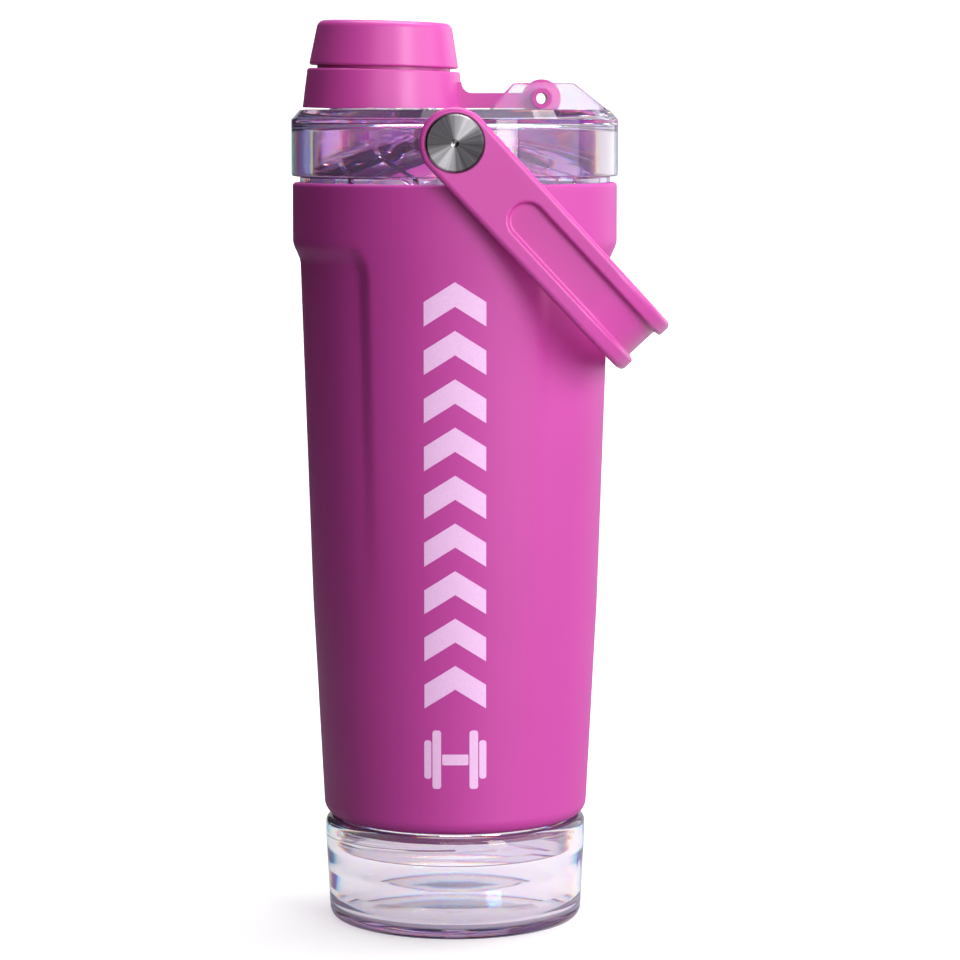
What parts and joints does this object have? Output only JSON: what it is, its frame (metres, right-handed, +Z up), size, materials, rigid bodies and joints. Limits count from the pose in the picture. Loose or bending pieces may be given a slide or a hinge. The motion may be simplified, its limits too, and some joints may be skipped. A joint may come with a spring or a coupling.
{
  "type": "protein shaker bottle",
  "caption": "Insulated steel shaker bottle with a clear screw lid, a tethered quarter-turn chug cap, a swinging carry loop and a screw-on powder cup.",
  "frame": {"origin": "centre of the circle the bottle stands on, on the standing face of the powder cup", "axes": "+Z up along the bottle's axis; +X from the drinking spout towards the tether hinge; Y along the carry loop's pivot axis"},
  "size_m": [0.1056, 0.1012, 0.2538],
  "materials": {
    "powder_coat": "satin powder coat",
    "stainless": "brushed",
    "getter_metal": "matte",
    "clear_plastic": "clear, lightly frosted",
    "pink_plastic": "fine moulded grain",
    "silicone": "soft matte",
    "slider_plastic": "smooth",
    "brass": "knurled"
  },
  "bodies": {
    "bottle": {"outer_shell": "powder_coat", "inner_liner": "stainless", "base_plate": "powder_coat", "vacuum_getter": "getter_metal", "base_socket": "clear_plastic"},
    "cup_seal": {"cup_gasket": "silicone"},
    "cup": {"storage_cup": "clear_plastic"},
    "lid_seal": {"lid_gasket": "silicone"},
    "lid": {"lid_cover": "clear_plastic", "lid_inner": "clear_plastic", "hinge_pin": "pink_plastic", "pivot_disc_front": "stainless", "pivot_disc_rear": "stainless", "pivot_screws": "stainless", "pivot_bushes": "slider_plastic", "pivot_inserts": "brass", "pivot_washers": "slider_plastic"},
    "handle": {"carry_loop": "pink_plastic"},
    "tether_body": {"tether": "pink_plastic"},
    "cap_seal_body": {"cap_seal": "silicone"},
    "cap": {"cap_cover": "pink_plastic", "cap_core": "pink_plastic"}
  },
  "joints": [
    {"name": "lid_rise", "type": "slide", "parent": "bottle", "child": "lid_seal", "axis": [0, 0, 1], "range_m": [0, 0.0161]},
    {"name": "lid_turn", "type": "hinge", "parent": "lid_seal", "child": "lid", "pos_m": [0, 0, 0.2], "axis": [0, 0, 1], "range_deg": [0, 480]},
    {"name": "cup_drop", "type": "slide", "parent": "bottle", "child": "cup_seal", "axis": [0, 0, -1], "range_m": [0, 0.0101]},
    {"name": "cup_turn", "type": "hinge", "parent": "cup_seal", "child": "cup", "pos_m": [0, 0, 0.015], "axis": [0, 0, -1], "range_deg": [0, 450]},
    {"name": "handle_swing", "type": "hinge", "parent": "lid", "child": "handle", "pos_m": [0, 0, 0.2199], "axis": [0, -1, 0], "range_deg": [0, 274]},
    {"name": "tether_flip", "type": "hinge", "parent": "lid", "child": "tether_body", "pos_m": [0.0241, 0, 0.232], "axis": [0, 1, 0], "range_deg": [0, 170]},
    {"name": "cap_drop", "type": "slide", "parent": "tether_body", "child": "cap_seal_body", "axis": [-0.0279, 0, -0.9996], "range_m": [0, 0.0009]},
    {"name": "cap_turn", "type": "hinge", "parent": "cap_seal_body", "child": "cap", "pos_m": [-0.0202, 0, 0.2289], "axis": [-0.0279, 0, -0.9996], "range_deg": [0, 90]}
  ],
  "couplings": [
    {"joint": "lid_rise", "follows": "lid_turn", "m_per_rad": 0.0019099},
    {"joint": "cup_drop", "follows": "cup_turn", "m_per_rad": 0.0012732},
    {"joint": "cap_drop", "follows": "cap_turn", "m_per_rad": 0.0005093}
  ]
}
